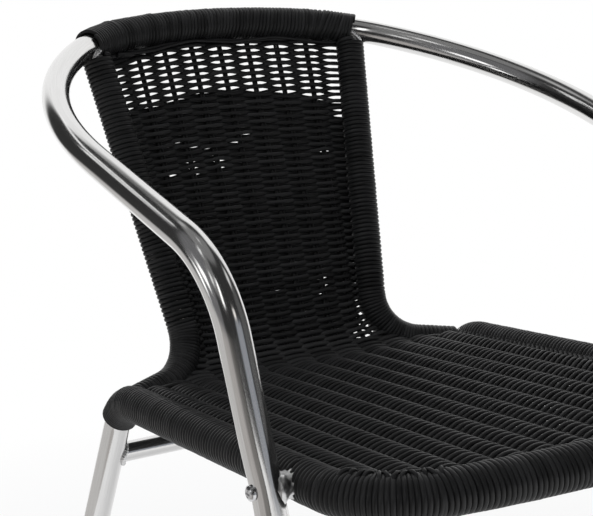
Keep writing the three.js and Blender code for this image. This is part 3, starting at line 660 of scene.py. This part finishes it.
def winding(
    skin,
    line,
    s0,
    s1,
    pitch,
    strand,
    bare,
    mirror=False,
    wobble=0.12,
    swell=lambda t: 0,
    lean=0.2,
    skew=0.0,
    spread=0.28,
):
    """One unbroken strand whose turns lie close together on the outside of each bend

    bare is the tube's radius; wobble and lean shift and tilt single turns at random, skew tilts
    them more and more towards the end, spread is how much their tone differs, and swell adds to
    the radius by share of the length.
    """
    steps, crowding, run_in = 26, 1.2, 4
    fine = np.linspace(s0, s1, 400)
    way = unit(np.gradient(line.at(fine)[0], axis=0))
    bend = np.linalg.norm(np.gradient(way, fine, axis=0), axis=1)
    bend = np.convolve(np.pad(bend, 4, "edge"), np.ones(9) / 9, "valid")
    rate = (1 + crowding * bend * (bare + strand)) / pitch
    turned = np.concatenate([[0], np.cumsum((rate[1:] + rate[:-1]) / 2 * np.diff(fine))])
    loops = max(int(round(turned[-1])), 1)
    turn = np.arange(loops * steps + 1) / steps
    s = np.interp(turn / loops, turned / turned[-1], fine) + smooth_noise(loops, wobble, 1.0, turn)
    _, n, b = line.at(np.clip(s, 0, line.length))
    angle = turn * 2 * math.pi
    radial = n * np.cos(angle)[:, None] + b * np.sin(angle)[:, None]
    ends = np.clip(np.minimum(turn, loops - turn) / run_in, 0, 1)
    slant = smooth_noise(loops, lean, 5, turn) * ends * np.sin(angle)
    slant = slant + skew * (turn / loops) ** 1.5 * ends * radial[:, 2]
    p = line.at(np.clip(s + slant, 0, line.length))[0]
    r = bare + strand / 2 + abs(smooth_noise(loops, wobble * 0.9, 1.0, turn)) + swell(turn / loops)
    points = p + radial * r[:, None]
    if mirror:
        points, radial = mirrored(points), mirrored(radial)
    tone = np.clip(rng.normal(0.45, spread, loops + 2), 0, 1)[(turn + 0.3).astype(int)]
    # a little wider than the pitch, so that no metal shows between the turns
    wide = max(strand, pitch * 1.08)
    skin.strand(points, wide / 2, radial, tone=tone, flat=strand / wide)


def top_swell(t):
    """Fuller in the middle, where the stakes turn round the tube, and at two crossed turns"""
    swell = 1.3 * np.sin(math.pi * t) ** 0.5
    for height, at, reach in ((0.9, 0.115, 0.012), (0.6, 0.28, 0.01)):
        swell = swell + height * np.exp(-(((t - at) / reach) ** 2))
    return swell


STRAND = 4.2
TOP_FROM, TOP_TO = -160, 157.2
skin = Skin()
top_from, top_to = (arm_line.crossing(0, x, past_leg) for x in (TOP_FROM, TOP_TO))
uneven = {"wobble": 0.24, "lean": 1.9, "skew": 5.0, "spread": 0.42}
winding(skin, arm_line, top_from, top_to, 4.3, STRAND, TUBE, swell=top_swell, **uneven)
piece("top_wrap", skin, "wicker")

rail_rear = seat_line.s[1 + ARC_STEPS // 6]
rail_fore = seat_line.crossing(1, fix_y + 3.2)
corner_rear = seat_line.crossing(1, fix_y + 1)
corner_end = seat_line.s[2 + ARC_STEPS * 2]
stile_end = stile_line.length - TUBE - 3
for name, flipped in (("right", False), ("left", True)):
    skin = Skin()
    winding(skin, seat_line, rail_rear, rail_fore, 4.4, STRAND, TUBE, flipped)
    piece(f"rail_wrap_{name}", skin, "wicker")
    skin = Skin()
    winding(skin, seat_line, corner_rear, corner_end, 4.4, STRAND, TUBE, flipped)
    piece(f"corner_wrap_{name}", skin, "wicker")
    skin = Skin()
    winding(skin, stile_line, TUBE + 2, stile_end, 4.5, STRAND + 0.05, STILE, flipped, 0.15)
    piece(f"stile_wrap_{name}", skin, "wicker")
skin = Skin()
winding(skin, seat_line, corner_end, seat_line.length - corner_end, 4.35, STRAND, TUBE)
piece("front_wrap", skin, "wicker")

# ---------------------------------------------------------------- woven sheet
# k counts stakes from the middle; w runs down the back (0 to 1), round the bend (1 to 2)
# and along the seat (2 to 3)
# LONG and MOST: stakes on each side of the middle one at the back rail and at the front rail
LONG, MOST = 3, 6
PITCH_TOP, PITCH_SPREAD, TOP_SHIFT, SHEET_BEND = 33.0, 1.4, 5.5, 60.0
WRAP_REACH, STAKE_HALF, EDGE_ROOM = (TUBE + 0.8) / math.cos(math.pi / 8) + 3, 4.2, 7
PITCH_SEAT = (rear_bend[0] - WRAP_REACH - STAKE_HALF - EDGE_ROOM) / MOST
SEAT_LIFT, SEAT_SAG = 5, 7
TOP_ROOM = 17.7
seat_cloud = seat_line.even(2)
stile_clouds = {k: line.even(2) for k, line in stile_lines.items()}
arm_back = arm_points[arm_points[:, 0] < 200]


def seat_point(k, y):
    """Points of the seat's middle layer, lower in the middle"""
    x = np.asarray(k, float) * PITCH_SEAT
    sag = SEAT_SAG * np.maximum(1 - (x / rear_bend[0]) ** 2, 0)
    y = np.broadcast_to(y, x.shape)
    return np.stack([x, y, seat_plane(y) + SEAT_LIFT - sag], -1)


# where the seat comes down on the front rail
grid_k = np.linspace(-7.4, 7.4, 297)
grid_y = np.linspace(corner_y + 60, front_y, 160)
front_at = []
for k in grid_k:
    d = nearest(seat_cloud, seat_point(np.full(len(grid_y), k), grid_y))
    met = np.nonzero(d < TUBE + 2.6)[0]
    front_at.append(grid_y[met[0]] if len(met) else grid_y[0])
front_at = np.array(front_at)


def sheet(k, w):
    """Points of the woven sheet's middle layer"""
    k, w = np.broadcast_arrays(np.asarray(k, float), np.asarray(w, float))
    shape = k.shape
    k, w = k.ravel(), w.ravel()
    x = np.clip(abs(k), 0, STILE_TOP_X / PITCH_TOP) * PITCH_TOP
    rail_y, rail_z = (np.interp(x, arm_back[:, 0], arm_back[:, i]) for i in (1, 2))
    top = np.stack([k * (PITCH_TOP + PITCH_SPREAD) + TOP_SHIFT, rail_y, rail_z], -1)
    corner = seat_point(k, float(STILE_FOOT[1]))
    front = seat_point(k, np.interp(k, grid_k, front_at))
    top = top + unit(corner - top) * TOP_ROOM
    back, fore = unit(top - corner), unit(front - corner)
    half = np.arccos(np.clip(dot(back, fore), -1, 1)) / 2
    start = corner + back * SHEET_BEND / np.tan(half)
    end = corner + fore * SHEET_BEND / np.tan(half)
    centre = corner + unit(back + fore) * SHEET_BEND / np.sin(half)
    wide = math.pi - half * 2
    t = np.clip(w[:, None] - 1, 0, 1)
    arc = np.sin((1 - t) * wide) * (start - centre) + np.sin(t * wide) * (end - centre)
    arc = arc / np.sin(wide) + centre
    w = w[:, None]
    out = np.where(w >= 2, end + (front - end) * (w - 2), arc)
    out = np.where(w <= 1, top + (start - top) * w, out)
    return out.reshape(*shape, 3)


def sheet_frame(k, w):
    """Directions across and down the sheet, and out of it towards the sitter"""
    d = 0.02
    across = unit(sheet(k + d, w) - sheet(k - d, w))
    down = unit(sheet(k, w + d / 4) - sheet(k, w - d / 4))
    out = unit(np.cross(down, across))
    return across, down, np.where((out[..., 2:] - out[..., 1:2]) < 0, -out, out)


lengths = [float(np.linalg.norm(sheet(0, b) - sheet(0, a))) for a, b in ((0, 1), (2, 3))]
bend_points = sheet(np.zeros(41), np.linspace(1, 2, 41))
bend_length = float(np.linalg.norm(np.diff(bend_points, axis=0), axis=1).sum())
# v is the distance down the middle of the sheet
v_marks = np.cumsum([0, lengths[0], bend_length, lengths[1]])


def w_of(v):
    return np.interp(v, v_marks, [0, 1, 2, 3]) + np.minimum(v, 0) / lengths[0]


def stake_start(k):
    """Where an outer stake comes out from under the stile's wrap"""
    cloud = stile_clouds[1 if k > 0 else -1]
    ws = np.linspace(2, 1, 120)
    met = np.nonzero(nearest(cloud, sheet(np.full(120, k), ws)) < STILE + 3)[0]
    return ws[met[0]] if len(met) else 1.0


stake_from = {k: (w_of(-10) if abs(k) <= LONG else stake_start(k)) for k in range(-MOST, MOST + 1)}

for k, w0 in stake_from.items():
    skin = Skin()
    on_back = np.linspace(w0, 1, 24)[:-1] if w0 < 1 else []
    w = np.concatenate([on_back, np.linspace(max(w0, 1), 2, 20), np.linspace(2, 3, 60)[1:]])
    ks = np.full(len(w), float(k))
    across, _, out = sheet_frame(ks, w)
    for hand in (-1, 1):
        sway = smooth_noise(len(w), 0.15, 5, np.arange(len(w)))[:, None]
        skin.strand(sheet(ks, w) + across * (hand * 1.5 + sway), 1.45, out)
    piece(f"stake_{k + MOST + 1:02d}", skin, "wicker")

# Rows of weft: each runs from wrap to wrap, over one stake and under the next
ROW_BACK, ROW_SEAT = 3.75, 3.65
back_v = np.arange(0.3, v_marks[2] - 25, ROW_BACK)
seat_v = np.arange(back_v[-1] + 3.7, v_marks[3] - 3, ROW_SEAT)
rows = np.concatenate([back_v, seat_v])
# places where the rows have slipped apart: stake, distance down the sheet, reach in stakes and
# reach down the sheet
SLIPS = (
    (-2.5, 110.0, 0.32, 5.85),
    (-1.5, 116.0, 0.34, 5.85),
    (-0.5, 114.0, 0.32, 3.6),
    (0.45, 109.5, 0.24, 3.6),
    (0.0, 118.5, 0.2, 2.7),
    (-0.95, 130.5, 0.3, 3.6),
    (-1.95, 133.5, 0.3, 3.6),
    (-1.95, 142.5, 0.28, 3.6),
    (-2.75, 143.0, 0.28, 5.4),
    (-0.95, 139.5, 0.2, 2.7),
    (3.0, 132.0, 0.24, 3.15),
    (2.05, 271.5, 0.25, 4.5),
    (2.1, 282.0, 0.25, 4.5),
    (1.9, 291.0, 0.25, 4.5),
    (3.3, 306.0, 0.3, 6.3),
    (3.25, 318.0, 0.35, 5.4),
    (3.3, 330.0, 0.35, 5.4),
    (3.45, 342.0, 0.4, 5.4),
    (2.95, 340.5, 0.35, 5.4),
    (3.8, 90.0, 0.3, 8.1),
)


def grown(v, start, length):
    """0 up to start, 1 from length after it"""
    return np.clip((v - start) / length, 0, 1)


def looseness(ks, v):
    """1 where the rows stand open below the back rail or have slipped, 0 where they are packed"""
    # the open rows start lower at both sides and end lower there too
    since = 3.5 + 6 * np.clip(-ks - 2.3, 0, 1.3) + 3 * np.clip(ks - 2.2, 0, 0.6)
    until = 59.5 + 5.6 * np.maximum(ks - 0.5, 0) + 4.1 * np.maximum(-ks - 1, 0)
    until = until + 1.2 * np.sin(ks * 2.3)
    loose = grown(v, since, 3) * np.clip((until - v) / 3, 0, 1)
    for k, at, beside, along in SLIPS:
        loose = loose + np.exp(-(((ks - k) / beside) ** 2) - ((v - at) / along) ** 2)
    return np.clip(loose, 0, 1)


def reach(w, hand):
    """Where a row ends: inside the wrap, or where it comes closest to it"""
    ks = np.arange(2.4, 7.3, 0.02)
    points = sheet(ks * hand, np.full(len(ks), w))
    room = nearest(stile_clouds[hand], points) - STILE
    room = np.minimum(room, nearest(seat_cloud, points) - TUBE)
    met = np.nonzero(room < 1.2)[0]
    return float(ks[met[0]] if len(met) else ks[room.argmin()])


def drawn_in(points, ks, end, hand, pitch):
    """The last of a row bends round into the wrap"""
    cloud = np.vstack([stile_clouds[hand], seat_cloud])
    bare = np.concatenate([np.full(len(stile_clouds[hand]), STILE), np.full(len(seat_cloud), TUBE)])
    tip = points[-1 if hand > 0 else 0]
    gap = np.linalg.norm(cloud - tip, axis=1) - bare
    i = gap.argmin()
    pull = (cloud[i] - tip) * max(gap[i] - 1.2, 0) / (gap[i] + bare[i])
    t = np.clip(1 - (end - ks * hand) * pitch / 16, 0, 1)
    return points + pull * (t * t * (3 - 2 * t))[:, None]


# a weft strand's thickness, how far from the sheet's middle it crosses the stakes of the back,
# and how much farther those of the seat
WEFT, OVER_BACK, OVER_SEAT = 3.6, 3.5, 2.0


def weft(skin, i, v):
    """Row i, at v down the sheet"""
    w = float(w_of(v))
    pitch = float(np.linalg.norm(sheet(1, w) - sheet(0, w)))
    ends = {hand: reach(w, hand) for hand in (-1, 1)}
    ks = np.arange(-ends[-1], ends[1] + 0.05, 0.1)
    ks[-1] = ends[1]
    # beyond the last stake the wrapped tube takes the next stake's place in the rhythm
    phase = ks.copy()
    tuck = float(np.interp(v, v_marks[1:3], (-6, 2)))
    for hand in (-1, 1):
        last = MOST
        while last > LONG and (stake_from[last * hand] > w or last > ends[hand] - 0.35):
            last -= 1
        past = ks * hand > last
        room = max(ends[hand] + tuck / pitch - last, 0.2)
        phase[past] = hand * (last + np.minimum((ks[past] * hand - last) / room, 1))
    # 1 where the row is in front of a stake, -1 where it is behind one
    c = np.cos(math.pi * (phase + i))
    c = np.sign(c) * abs(c) ** 0.85
    # how much the row belongs to the seat, to the rows before the seat's open part, to those
    # of these in the bend, and to the line where the bend meets the seat
    on_seat = grown(v, v_marks[1] + bend_length * 0.6, bend_length * 0.5)
    before = 1 - grown(v, v_marks[2] + 10, 40)
    low = grown(v, 150, 90) * before
    turning = grown(v, v_marks[1] - 25, 25) * before
    join = math.exp(-(((v - v_marks[2] + 24) / 20) ** 2))
    loose = looseness(ks, v)
    height = OVER_BACK + OVER_SEAT * on_seat - 0.5 * turning - 0.9 * join
    # on the back a row lies lower where it is in front, and the other way round where it is loose
    openness = 0.5 * (1 - on_seat) * (1 - loose) - 0.6 * loose
    rise = openness * ROW_BACK / 2 * c + smooth_noise(len(ks), 0.16, 9, np.arange(len(ks)))
    across, down, out = sheet_frame(ks, np.full(len(ks), w))
    points = sheet(ks, np.full(len(ks), w)) + out * (height * c)[:, None] + down * rise[:, None]
    for hand in (-1, 1):
        points = drawn_in(points, ks, ends[hand], hand, pitch)
    # pressed wider behind a stake than in front of it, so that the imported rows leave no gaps
    packed_wide = 3.95 + 0.85 * (1 - c) + 0.35 * low + 0.55 * turning + 1.3 * join
    # the open rows are slimmest beside the right stile
    loose_wide = 4.3 + (1 - abs(c)) - 0.5 * grown(ks, 3.15, 0.2) * loose
    wide = packed_wide * (1 - loose) + loose_wide * loose
    skin.strand(points, wide / 2, out, flat=WEFT / wide)


def tails(skin, count):
    """Ends of the seat's rows, drawn over the front left corner and tucked between its turns"""
    steps = 16
    s = seat_line.length - corner_end + np.linspace(-6, 62, count) + rng.uniform(-1.5, 1.5, count)
    for at in s:
        p, n, b = (v[0] for v in seat_line.at(np.array([at])))
        way = np.cross(n, b)
        inward = unit(vec(0, 0.05, 0) - p * (1, 1, 0))
        inward = unit(inward - way * (inward @ way))
        top = unit(vec(0, 0, 1) - way * way[2])
        lean = rng.uniform(-0.45, 0.45)
        # round the tube from its inner side outwards, humped, with the tip tucked in
        turn = np.linspace(rng.uniform(-0.6, -0.4), rng.uniform(0.1, 0.35), steps)
        lift = TUBE + STRAND + 0.9 * np.sin(np.linspace(0.25, math.pi, steps))
        lift = (lift - 2.4 * np.linspace(0, 1, steps) ** 6)[:, None]
        path = p + lift * (top * np.cos(turn)[:, None] - inward * np.sin(turn)[:, None])
        path = path + way * (lean * 7 * np.linspace(-1, 1, steps))[:, None]
        skin.strand(path, 1.6, unit(path - p))


back_skin, seat_skin = Skin(), Skin()
for i, v in enumerate(rows):
    weft(back_skin if v < (v_marks[1] + v_marks[2]) / 2 else seat_skin, i, v)
tails(seat_skin, 12)
piece("back_weave", back_skin, "wicker")
piece("seat_weave", seat_skin, "wicker")

# tie strand across the stakes below the back rail, and its slack end, which hangs over the gaps
skin = Skin()
ks = np.linspace(-3.9, 3.9, 90)
w = np.full(len(ks), float(w_of(1.5)))
_, down, out = sheet_frame(ks, w)
lift = 4.3 + 0.5 * np.cos(ks * 2 * math.pi)
dip = 1.5 * np.sin(ks * 1.3)
skin.strand(sheet(ks, w) + out * lift[:, None] + down * dip[:, None], 1.7, out)
dip = 1.6 + 2.0 * np.sin(ks * 2.1 + 0.7) + 1.4 * np.exp(-(((ks + 3.2) / 0.6) ** 2))
skin.strand(sheet(ks, w) + out * (lift + 2.2)[:, None] + down * dip[:, None], 1.6, out)
piece("tie_strand", skin, "wicker")

# ---------------------------------------------------------------- floor, light and background
def joined(nodes, links, operation, first, second):
    """A maths node: one value from a socket and a socket or a number"""
    node = nodes.new("ShaderNodeMath")
    node.operation = operation
    links.new(first, node.inputs[0])
    if isinstance(second, (int, float)):
        node.inputs[1].default_value = second
    else:
        links.new(second, node.inputs[1])
    return node.outputs[0]


def seen(nodes, links):
    """1 for rays that come from the camera, a reflection or a clear thing, 0 for all others"""
    rays = nodes.new("ShaderNodeLightPath").outputs
    one = joined(nodes, links, "MAXIMUM", rays["Is Camera Ray"], rays["Is Glossy Ray"])
    return joined(nodes, links, "MAXIMUM", one, rays["Is Transmission Ray"])


def blend(nodes, links, share, first, second):
    """The second shader by its share, else the first"""
    mix = nodes.new("ShaderNodeMixShader")
    for i, source in enumerate((share, first, second)):
        links.new(source, mix.inputs[i])
    return mix.outputs[0]


# the floor fades to white away from the chair and keeps the chair's shadow
FLOOR_REACH = 2.7
made, nodes, links, shader = material("floor", roughness=0.6)
at = nodes.new("ShaderNodeTexCoord").outputs["Object"]
cloud = noise(nodes, links, at, 3, 2)
links.new(ramp(nodes, links, cloud, [(0.3, 0.86), (0.7, 0.88)]), shader.inputs["Base Color"])
length = nodes.new("ShaderNodeVectorMath")
length.operation = "LENGTH"
links.new(at, length.inputs[0])
far = joined(nodes, links, "MULTIPLY", length.outputs["Value"], 1 / 2.6)
fade = ramp(nodes, links, far, [(0.0, 0.5), (0.16, 0.6), (0.42, 1.0)])
share = joined(nodes, links, "MULTIPLY", fade, seen(nodes, links))
glow = nodes.new("ShaderNodeEmission")
glow.inputs["Color"].default_value = (1, 1, 1, 1)
faded = blend(nodes, links, share, shader.outputs[0], glow.outputs[0])
links.new(faded, nodes["Material Output"].inputs["Surface"])
disc = bpy.data.meshes.new("floor")
turns = np.linspace(0, 2 * math.pi, 97)[:-1]
ring = [(FLOOR_REACH * math.cos(a), FLOOR_REACH * math.sin(a), 0) for a in turns]
disc.from_pydata(ring, [], [list(range(len(ring)))])
floor = bpy.data.objects.new("floor", disc)
disc.materials.append(made)
scene.collection.objects.link(floor)

world = bpy.data.worlds.new("studio")
scene.world = world
world.use_nodes = True
nodes, links = world.node_tree.nodes, world.node_tree.links
soft = nodes["Background"]
soft.inputs["Color"].default_value = (0.95, 0.97, 1.0, 1)
soft.inputs["Strength"].default_value = 0.45
white = nodes.new("ShaderNodeBackground")
white.inputs["Color"].default_value = (1, 1, 1, 1)
white.inputs["Strength"].default_value = 1.0
sky = blend(nodes, links, seen(nodes, links), soft.outputs[0], white.outputs[0])
links.new(sky, nodes["World Output"].inputs["Surface"])


def lamp(name, place_at, target, size, power):
    """A soft box that shows in no reflection; the surround's cards take its place there"""
    data = bpy.data.lights.new(name, "AREA")
    data.shape = "RECTANGLE"
    data.size, data.size_y = size
    data.energy = power
    obj = bpy.data.objects.new(name, data)
    obj.location = place_at
    obj.rotation_euler = (Vector(target) - Vector(place_at)).to_track_quat("-Z", "Y").to_euler()
    obj.visible_glossy = False
    scene.collection.objects.link(obj)


lamp("overhead", (-0.1, 0.5, 2.2), (0, 0, 0.5), (1.5, 0.7), 22)
lamp("left_box", (-2.3, -0.7, 1.5), (0, 0, 0.55), (0.8, 1.3), 16)
lamp("right_box", (1.2, -2.2, 1.7), (0, 0, 0.5), (0.6, 1.4), 12)

# Studio surround that only reflections see: dark cloth with a white opening behind the chair and
# a few soft boxes, each written as azimuth, elevation, half width, half height and softness in
# degrees, and brightness. Seen from the chair's middle, azimuth 0 is behind it and 90 on its right.
SURROUND, HUB, DARK_CLOTH = 3.2, (0, 0, 0.55), 0.035
CARDS = (
    (33, 10, 45, 43, 10, (1.0, 1.0, 1.0)),
    (-88, 10, 24, 50, 9, (0.16, 0.16, 0.165)),
    (-124, 42, 13, 22, 8, (0.2, 0.2, 0.2)),
    (165, 2, 18, 12, 6, (0.30, 0.315, 0.345)),
    (120, 5, 18, 25, 8, (0.11, 0.11, 0.11)),
    (0, 84, 180, 20, 8, (0.22, 0.22, 0.22)),
    (40, 67, 26, 6, 4, (0.05, 0.05, 0.05)),
    (-30, 44, 22, 1.6, 1.5, (1.4, 1.4, 1.4)),
    (-45, 37, 4, 3, 2, (1.3, 1.3, 1.3)),
    (-89, 14, 8, 6, 2.5, (1.8, 1.8, 1.8)),
    (-71, -1, 5, 5, 2.5, (1.9, 1.9, 1.9)),
    (-140, 29, 4, 11, 2.5, (2.0, 2.0, 2.0)),
    (-119, 32, 3, 5, 2.5, (1.4, 1.4, 1.4)),
    (173, 20, 6, 4, 3, (1.3, 1.25, 1.2)),
    (112, 38, 12, 5, 4, (0.8, 0.8, 0.8)),
    (-110, 60, 6, 5, 3, (1.3, 1.3, 1.3)),
    (-15, 66, 16, 5, 4, (0.5, 0.5, 0.5)),
    # the floor on the chair's left, and what stands there
    (-50, -35, 38, 25, 8, (0.6, 0.59, 0.58)),
    (-104, -35, 18, 25, 12, (0.47, 0.45, 0.435)),
    (-132, -35, 14, 25, 12, (0.23, 0.22, 0.21)),
)


def brightness(points):
    """What the cards give in the direction of each point"""
    way = points - HUB
    az = np.degrees(np.arctan2(way[..., 0], way[..., 1]))
    el = np.degrees(np.arctan2(way[..., 2], np.hypot(way[..., 0], way[..., 1])))
    shade = np.full(points.shape, DARK_CLOTH)
    for at, up_at, wide, tall, edge, bright in CARDS:
        off = abs((az - at + 180) % 360 - 180)
        inside = np.clip((wide - off) / edge + 0.5, 0, 1)
        inside = inside * np.clip((tall - abs(el - up_at)) / edge + 0.5, 0, 1)
        inside = (inside * inside * (3 - 2 * inside))[..., None]
        shade = shade * (1 - inside) + np.array(bright) * inside
    return shade


def reflected(name, points, material, closed):
    """A sheet of cloth that lights nothing and shows only in reflections"""
    m, n = points.shape[:2]
    i, j = np.arange(m - 1)[:, None], np.arange(n if closed else n - 1)[None]
    beside = (j + 1) % n
    faces = np.stack([i * n + j, i * n + beside, (i + 1) * n + beside, (i + 1) * n + j], -1)
    mesh = bpy.data.meshes.new(name)
    mesh.from_pydata(points.reshape(-1, 3).tolist(), [], faces.reshape(-1, 4).tolist())
    colour = mesh.attributes.new("shade", "FLOAT_COLOR", "POINT")
    rgba = np.concatenate([brightness(points).reshape(-1, 3), np.ones((m * n, 1))], 1)
    colour.data.foreach_set("color", rgba.astype(np.float32).ravel())
    mesh.materials.append(material)
    obj = bpy.data.objects.new(name, mesh)
    obj.visible_camera = obj.visible_diffuse = obj.visible_shadow = False
    scene.collection.objects.link(obj)


cloth = bpy.data.materials.new("surround")
cloth.use_nodes = True
nodes, links = cloth.node_tree.nodes, cloth.node_tree.links
glow = nodes.new("ShaderNodeEmission")
links.new(attribute(nodes, "shade", "Color"), glow.inputs["Color"])
links.new(glow.outputs[0], nodes["Material Output"].inputs["Surface"])
# a dome and, on the chair's left, a sheet on the floor, both just clear of the floor
CLEAR = 0.01
a, e = np.radians(np.meshgrid(np.arange(0, 360, 1.5), np.linspace(0, 88, 59)))
dome = np.stack([np.cos(e) * np.sin(a), np.cos(e) * np.cos(a), np.sin(e)], -1)
reflected("surround", dome * SURROUND + (0, 0, CLEAR), cloth, True)
a, r = np.meshgrid(np.radians(np.arange(-148, -14.9, 1.5)), np.linspace(0.55, SURROUND, 60))
flat = np.stack([r * np.sin(a), r * np.cos(a), np.full(r.shape, CLEAR)], -1)
reflected("floor_cloth", flat, cloth, False)

scene.view_settings.view_transform = "Standard"
